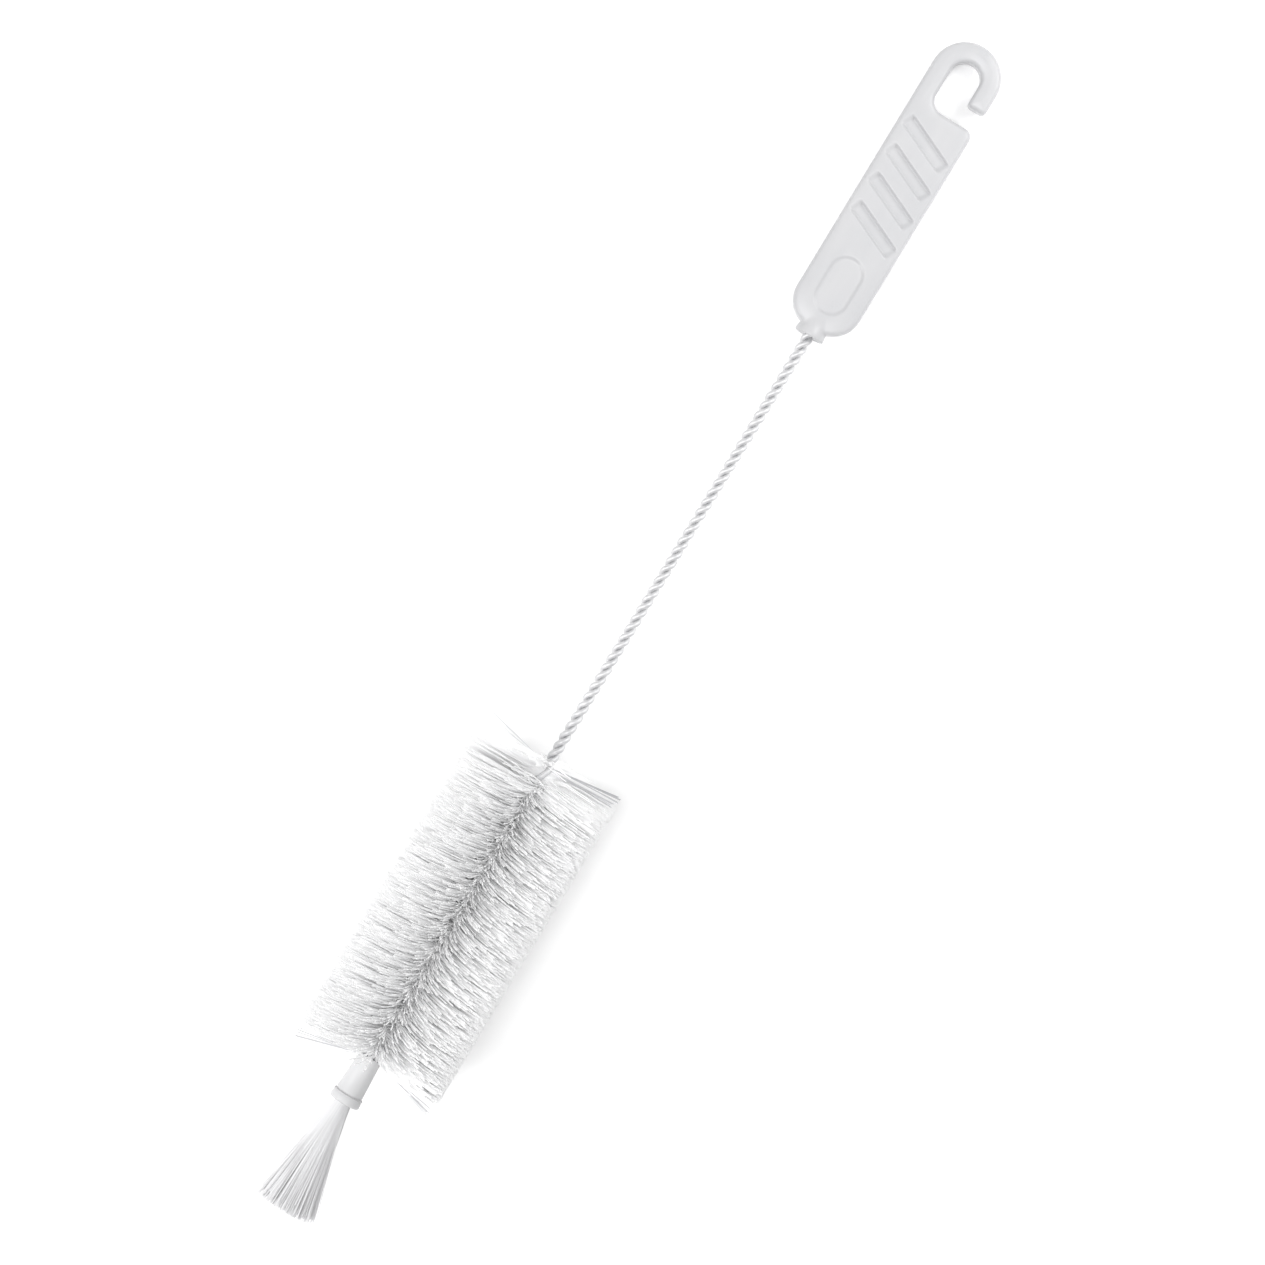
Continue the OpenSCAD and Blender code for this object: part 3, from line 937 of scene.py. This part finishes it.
@dataclass
class FilamentHead(Piece):
    """Filaments gripped between the wire's legs, trimmed to a cylinder and bent on the floor."""

    finish: bpy.types.Material
    radius: float = 24.3
    filament: float = 0.17
    parts: int = 4
    per_part: int = 4300
    points: int = 7
    sides: int = 3
    bend_reach: float = 12.0
    parting: float = 0.3
    fan_reach: float = 10.5
    lean: float = -3.0
    stem_lean: float = 4.4
    tip_lean: float = 1.6
    end_run: float = 10.0
    clump: float = 0.45
    trim: float = 0.05
    notch: float = 0.075
    crowding: float = 1.35
    held: float = 0.25
    held_run: float = 6.0
    tilt: float = 1.0
    tuft_tilt: float = 0.15
    slide: float = 4.4
    tuft_slide: float = 0.3
    mouth_run: float = 5.0
    mouth_lay: float = 0.9
    bow: float = 0.9
    floor_clearance: float = 0.15
    floor_push: float = 0.6
    seed: int = 11
    seed_step: int = 7

    def build(self) -> list[bpy.types.Object]:
        """Grows the head in lengths along the wire."""
        length = (self.axis.stem - self.axis.head) / self.parts
        made = []
        for k in range(self.parts):
            start, seed = self.axis.head + k * length, self.seed + k * self.seed_step
            grown = self.grown(f"head_filaments_{k + 1}", start, length, seed)
            made.append(self.settle(grown, "head_filaments", Slot.FILAMENT))
        return made

    def grown(self, name: str, start: float, length: float, seed: int) -> bpy.types.Object:
        """Grows one length of the head.

        Args:
            name: the piece's name.
            start: station where it starts.
            length: its length.
            seed: seed of everything random in it.

        Returns:
            The piece.
        """
        grower = Grower(name)
        count = grower.count("Filaments", self.per_part)
        seeded = grower.count("Seed", seed)
        first = grower.size("Start", start)
        run = grower.size("Length", length)
        reach = grower.size("Head radius", self.radius)
        thin = grower.size("Filament radius", self.filament)
        pitch = grower.size("Pitch", self.axis.head_pitch)
        lean = grower.size("Lean", self.lean)
        clump = grower.size("Clump", self.clump)
        slope = grower.size("Tilt", self.axis.tilt)
        anchor = grower.size("Anchor height", self.axis.anchor.z / MM)

        def place(strand: Term, share: Term) -> tuple[Term, Term, Term]:
            """Gives a point of a filament from its number and the share of its way."""
            root = first + run * (strand + grower.chance(strand, seeded)) / count
            side = strand - (strand / 2.0).floor() * 2.0
            tuft = (root / clump).floor() * 2.0 + side
            tilt_own = grower.spread(strand, seeded + 11.0)
            tilt_tuft = grower.spread(tuft, seeded + 23.0)
            slide_own = grower.spread(strand, seeded + 37.0)
            slide_tuft = grower.spread(tuft, seeded + 41.0)
            trim = grower.chance(strand, seeded + 53.0) ** 3.0
            notch = grower.chance(tuft, seeded + 59.0) ** 5.0
            full = reach * (1.0 - self.trim * trim - self.notch * notch)
            out = full * share**self.crowding
            bend = 1.0 - (1.0 - (out / self.bend_reach).unit()) ** 2.0
            fan = (out / self.fan_reach).unit() ** 0.8
            from_end = (root - self.axis.head).least(self.axis.stem - root)
            free = self.held + (1 - self.held) * (from_end / self.held_run).eased()
            angle = (
                2 * math.pi * ((root - self.axis.stem) / pitch)
                + math.pi * (side + 0.5)
                + fan * free * (self.tilt * tilt_own + self.tuft_tilt * tilt_tuft)
            )
            angle = angle - self.parting * fan * (angle * 2.0).sin()
            near_mouth = 1.0 - ((root - self.axis.head) / self.mouth_run).unit()
            keep = 1.0 - self.mouth_lay * near_mouth * angle.sin() ** 2.0
            from_stem = 1.0 - ((self.axis.stem - root) / self.end_run).eased()
            from_tip = 1.0 - ((root - self.axis.head) / self.end_run).eased()
            upright = lean + self.stem_lean * from_stem + self.tip_lean * from_tip
            slid = self.slide * slide_own + self.tuft_slide * slide_tuft
            x = root + keep * (bend * upright + fan * free * slid)
            y = out * angle.cos()
            z = out * angle.sin()
            bow = grower.spread(strand, seeded + 67.0) * share * share * self.bow
            y = y - bow * angle.sin()
            z = z + bow * angle.cos()
            rise = (x - self.axis.peg) * slope.sin()
            ground = (self.floor_clearance - anchor + rise) / slope.cos()
            sunk = (ground - z).most(0.0)
            aside = y.math("SIGN") * sunk * self.floor_push
            return x, y + aside, z + sunk

        tone = partial(grower.chance, seed=seeded + 71.0)
        grower.strands(count, self.points, place, thin, self.sides, tone, self.finish)
        return grower.grow(name, self.axis.placement())


@dataclass(frozen=True)
class Wisp:
    """A few long filaments that stand away from an end of the head, in mm and degrees."""

    name: str
    root: float
    angle: float
    reach: float
    slide: float
    width: float
    count: int
    tone: float
    seed: int


@dataclass
class EndWisps(Piece):
    """The loose filaments at both ends of the head."""

    finish: bpy.types.Material
    filament: float = 0.16
    points: int = 10
    sides: int = 3
    trim: float = 0.06
    tilt: float = 0.09
    bow: float = 0.8
    tone_play: float = 0.3
    wisps: tuple[Wisp, ...] = (
        Wisp("stem_wisp_long", 151.8, 8.0, 22.6, 5.2, 0.5, 2, 0.35, 1),
        Wisp("stem_wisp_short", 151.9, 14.0, 18.0, 3.6, 0.9, 3, 0.5, 2),
        Wisp("stem_wisp_fringe", 151.2, 10.0, 24.0, 0.2, 1.6, 14, 0.6, 3),
        Wisp("stem_wisp_clump", 151.8, 172.0, 24.0, 3.0, 0.45, 10, 0.1, 4),
        Wisp("stem_wisp_low", 151.3, 166.0, 23.6, 0.6, 0.9, 8, 0.35, 5),
        Wisp("tip_wisp_upper", 52.2, 10.0, 23.4, -5.0, 1.1, 7, 0.3, 6),
        Wisp("tip_wisp_lower", 52.2, 170.0, 23.6, -5.6, 1.8, 12, 0.35, 7),
    )

    def build(self) -> list[bpy.types.Object]:
        """Grows every wisp."""
        grown = map(self.grown, self.wisps)
        return [self.settle(made, "head_filaments", Slot.FILAMENT) for made in grown]

    def grown(self, wisp: Wisp) -> bpy.types.Object:
        """Grows one wisp.

        Args:
            wisp: its sizes.

        Returns:
            The piece.
        """
        grower = Grower(wisp.name)
        count = grower.count("Filaments", wisp.count)
        seeded = grower.count("Seed", wisp.seed)
        reach = grower.size("Reach", wisp.reach)
        slide = grower.size("Slide", wisp.slide)
        width = grower.size("Width", wisp.width)
        thin = grower.size("Filament radius", self.filament)
        turn = grower.size("Angle", math.radians(wisp.angle))

        def place(strand: Term, share: Term) -> tuple[Term, Term, Term]:
            """Gives a point of a filament from its number and the share of its way."""
            out = reach * share * (1.0 - self.trim * grower.chance(strand, seeded))
            angle = turn + self.tilt * grower.spread(strand, seeded + 5.0)
            spread = width * grower.spread(strand, seeded + 9.0)
            bow = grower.spread(strand, seeded + 13.0) * self.bow * share * share
            x = wisp.root + share**0.85 * slide + share * spread + bow
            return x, out * angle.cos(), out * angle.sin()

        def tone(thread: Term) -> Term:
            """Gives each filament its own shade."""
            return wisp.tone + self.tone_play * grower.chance(thread, seeded + 17.0)

        grower.strands(count, self.points, place, thin, self.sides, tone, self.finish)
        return grower.grow(wisp.name, self.axis.placement())


@dataclass
class TipTuft(Piece):
    """The folded bundle of filaments that fans out of the ferrule."""

    finish: bpy.types.Material
    filament: float = 0.15
    count: int = 1700
    points: int = 10
    neck: float = 2.35
    fan: float = 2.9
    inside: float = 4.5
    ragged: float = 4.2
    stray: float = 1.2
    drift: float = 0.8
    droop: float = 1.2
    upper_strays: int = 8
    upper_reach: float = 2.0
    upper_play: float = 4.5
    lower_strays: int = 3
    lower_reach: float = 7.2
    curl: float = 1.4
    curl_from: float = 0.9
    gathered: float = 0.7
    sides: int = 3
    seed: int = 5

    def build(self) -> list[bpy.types.Object]:
        """Grows the tuft."""
        grower = Grower("tip tuft")
        count = grower.count("Filaments", self.count)
        seeded = grower.count("Seed", self.seed)
        neck = grower.size("Neck radius", self.neck)
        fan = grower.size("Fan", self.fan)
        thin = grower.size("Filament radius", self.filament)
        start = self.axis.ferrule + self.inside

        def place(strand: Term, share: Term) -> tuple[Term, Term, Term]:
            """Gives a point of a filament from its number and the share of its way."""
            ring = grower.chance(strand, seeded) ** 0.5
            turn = grower.chance(strand, seeded + 3.0, 0.0, 2 * math.pi)
            end = self.ragged * grower.chance(strand, seeded + 5.0) ** 1.5
            x = start - share * (start - end)
            free = ((self.axis.ferrule - x) / self.axis.ferrule).most(0.0)
            stray = (grower.chance(strand, seeded + 7.0) ** 12.0) * ring
            flare = fan * free + self.stray * stray * free**2.0
            out = neck * ring * (1.0 + flare)
            drift_y = grower.spread(strand, seeded + 9.0) * free**2.0 * self.drift
            drift_z = grower.spread(strand, seeded + 13.0) * free**2.0 * self.drift
            droop = free**1.5 * self.droop
            upper = strand.above(self.count - self.upper_strays - 0.5)
            lower = 1.0 - strand.above(self.lower_strays - 0.5)
            curl = ((share - self.curl_from) / (1 - self.curl_from)).unit()
            risen = self.upper_reach + self.upper_play * grower.chance(strand, seeded + 19.0)
            loose = upper * risen * free**1.6
            loose = loose - lower * (self.lower_reach * free**1.1 - curl * self.curl)
            held = 1.0 - (upper + lower) * self.gathered * free
            y = out * turn.cos() * held + drift_y - droop + loose
            return x, y, out * turn.sin() * held + drift_z

        tone = partial(grower.chance, seed=seeded + 17.0)
        grower.strands(count, self.points, place, thin, self.sides, tone, self.finish)
        made = grower.grow("tip_tuft_filaments", self.axis.placement())
        return [self.settle(made, "tip_tuft", Slot.FILAMENT)]


@dataclass
class Ferrule(Piece):
    """The tapered sleeve that holds the tuft on the wire's eye."""

    finish: MouldedPlastic = MouldedPlastic(
        "ferrule plastic", Sheen.SATIN, (0.66, 0.66, 0.665), (0.62, 0.62, 0.628)
    )
    length: float = 15.5
    mouth: float = 3.6
    base: float = 4.3
    lip: float = 4.85
    lip_length: float = 2.9
    groove: float = 0.25
    wall: float = 0.8
    tuft_bore: float = 2.5
    front_round: float = 0.7
    back_round: float = 0.3
    facets: int = 96

    @staticmethod
    def corner(x: float, radius: float, size: float) -> list[tuple[float, float]]:
        """Returns the stations and radii along a rounded outer corner of the sleeve."""
        arc = [math.radians(15 * k) for k in range(7)]
        return [(x - size * (1 - math.sin(a)), radius - size * (1 - math.cos(a))) for a in arc]

    def profile(self) -> list[tuple[float, float]]:
        """Returns the wall's closed outline as station and radius, from the tuft's side."""
        lip, end = self.lip_length, self.length
        front = self.corner(0.0, self.lip, self.front_round)
        return [
            (0.0, self.tuft_bore),
            *[(-x, r) for x, r in reversed(front)],
            *reversed(self.corner(lip, self.lip, self.back_round)),
            (lip + 0.05, self.base - self.groove),
            (lip + 0.35, self.base - self.groove),
            (lip + 0.6, self.base),
            *self.corner(end, self.mouth, self.back_round),
            (end, self.mouth - self.wall),
            (lip + 0.8, self.base - self.wall),
            (lip + 0.3, self.tuft_bore),
        ]

    def build(self) -> list[bpy.types.Object]:
        """Turns the sleeve about the brush's axis."""
        outline = self.profile()
        turns = np.arange(self.facets) * 2 * math.pi / self.facets
        start = self.axis.ferrule
        corners = np.array(
            [(start + x, r * math.cos(a), r * math.sin(a)) for a in turns for x, r in outline]
        )
        rings, n = self.facets, len(outline)
        faces = []
        for i in range(rings):
            here, after = i * n, (i + 1) % rings * n
            for j in range(n):
                side = (j + 1) % n
                faces.append((here + j, here + side, after + side, after + j))
        made = solid("tip_ferrule_sleeve", corners, faces, self.axis.placement())
        made.data.materials.append(self.finish.mixed())
        return [self.settle(made, "tip_ferrule", Slot.FERRULE)]


# Studio

@dataclass(frozen=True)
class Lamp:
    """A square soft light: its name, place and side in metres, and its power in watts."""

    name: str
    place: tuple[float, float, float]
    side: float
    watts: float


@dataclass(frozen=True)
class Studio:
    """A pale floor, soft lights and a camera that looks squarely down on the brush."""

    axis: BrushAxis
    floor_size: float = 6.0
    floor_colour: Colour = (0.97, 0.97, 0.97)
    sky: float = 0.42
    glow: float = 0.12
    distance: float = 1.1
    lens: float = 106.0
    aim: float = 198.8
    aside: float = -1.0
    heading: float = 58.75
    bounces: int = 14
    diffuse_bounces: int = 12
    transmission_bounces: int = 4
    lamps: tuple[Lamp, ...] = (
        Lamp("top", (-0.1, 0.15, 1.5), 0.6, 8.5),
        Lamp("key", (-0.45, 0.5, 0.6), 0.4, 3.6),
        Lamp("fill", (0.42, -0.22, 0.3), 0.3, 1.5),
    )

    def floor(self) -> bpy.types.Object:
        """Lays the floor."""
        half = self.floor_size / 2
        mesh = bpy.data.meshes.new("floor")
        corners = [(-half, -half, 0), (half, -half, 0), (half, half, 0), (-half, half, 0)]
        mesh.from_pydata(corners, [], [(0, 1, 2, 3)])
        floor = shown("floor", mesh)
        material = bpy.data.materials.new("floor")
        material.use_nodes = True
        shader = material.node_tree.nodes["Principled BSDF"]
        shader.inputs["Base Color"].default_value = (*self.floor_colour, 1.0)
        shader.inputs["Roughness"].default_value = 0.9
        shader.inputs["Specular IOR Level"].default_value = 0.1
        shader.inputs["Emission Color"].default_value = WHITE
        shader.inputs["Emission Strength"].default_value = self.glow
        mesh.materials.append(material)
        return floor

    @staticmethod
    def light(lamp: Lamp) -> None:
        """Hangs one light so that it faces the brush."""
        data = bpy.data.lights.new(lamp.name, "AREA")
        data.shape = "SQUARE"
        data.size = lamp.side
        data.energy = lamp.watts
        hung = shown(lamp.name, data)
        hung.location = lamp.place
        hung.rotation_euler = (-Vector(lamp.place)).to_track_quat("-Z", "Y").to_euler()
        hung.visible_camera = False

    def camera(self) -> None:
        """Stands the camera over the middle of the brush, square to its axis."""
        turn = math.radians(self.heading)
        lie = self.axis.placement().to_3x3().normalized()
        right = lie @ Vector((math.cos(turn), -math.sin(turn), 0.0))
        up = lie @ Vector((math.sin(turn), math.cos(turn), 0.0))
        back = right.cross(up)
        target = self.axis.placement() @ Vector((self.aim, self.aside, 0.0))
        data = bpy.data.cameras.new("camera")
        data.lens = self.lens
        data.sensor_width = 36.0
        camera = shown("camera", data)
        turned = Matrix((right, up, back)).transposed().to_4x4()
        camera.matrix_world = Matrix.Translation(target + back * self.distance) @ turned
        bpy.context.scene.camera = camera

    def world(self) -> None:
        """Lights the brush evenly from all round."""
        world = bpy.data.worlds.new("studio")
        world.use_nodes = True
        background = world.node_tree.nodes["Background"]
        background.inputs["Color"].default_value = WHITE
        background.inputs["Strength"].default_value = self.sky
        bpy.context.scene.world = world
        bpy.context.scene.view_settings.view_transform = "Standard"
        cycles = bpy.context.scene.cycles
        cycles.max_bounces = self.bounces
        cycles.diffuse_bounces = self.diffuse_bounces
        cycles.transmission_bounces = self.transmission_bounces

    def build(self) -> None:
        """Builds the whole studio."""
        self.floor()
        self.world()
        for lamp in self.lamps:
            self.light(lamp)
        self.camera()


@dataclass
class BottleBrush:
    """The whole brush, put together in the order that it is made."""

    axis: BrushAxis
    filament: NylonFilament = NylonFilament()
    # The wisps' nylon is the head's nylon coloured darker: painted shade for how grey the loose
    # filaments look under this light.
    loose: NylonFilament = NylonFilament(
        "wisp nylon with painted shade", (0.80, 0.80, 0.81), (0.52, 0.52, 0.535)
    )
    # The tuft's nylon is also the head's nylon coloured darker: painted shade for how grey the
    # tuft looks under this light.
    folded: NylonFilament = NylonFilament(
        "tuft nylon with painted shade", (0.78, 0.78, 0.785), (0.73, 0.73, 0.74)
    )

    def build(self) -> None:
        """Builds each piece and reports it."""
        pieces: list[Piece] = [
            TwistedWire(self.axis),
            FilamentHead(self.axis, self.filament.mixed()),
            EndWisps(self.axis, self.loose.mixed()),
            TipTuft(self.axis, self.folded.mixed()),
            Ferrule(self.axis),
            Handle(self.axis),
        ]
        for piece in pieces:
            for made in piece.build():
                made.data.calc_loop_triangles()
                LOG.info("%s: %d triangles", made.name, len(made.data.loop_triangles))


def main() -> None:
    """Builds the brush and its studio."""
    logging.basicConfig(level=logging.INFO, format="%(message)s")
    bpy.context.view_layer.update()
    axis = BrushAxis.from_record(frame["record"])
    BottleBrush(axis).build()
    Studio(axis).build()


if __name__ == "__main__":
    main()
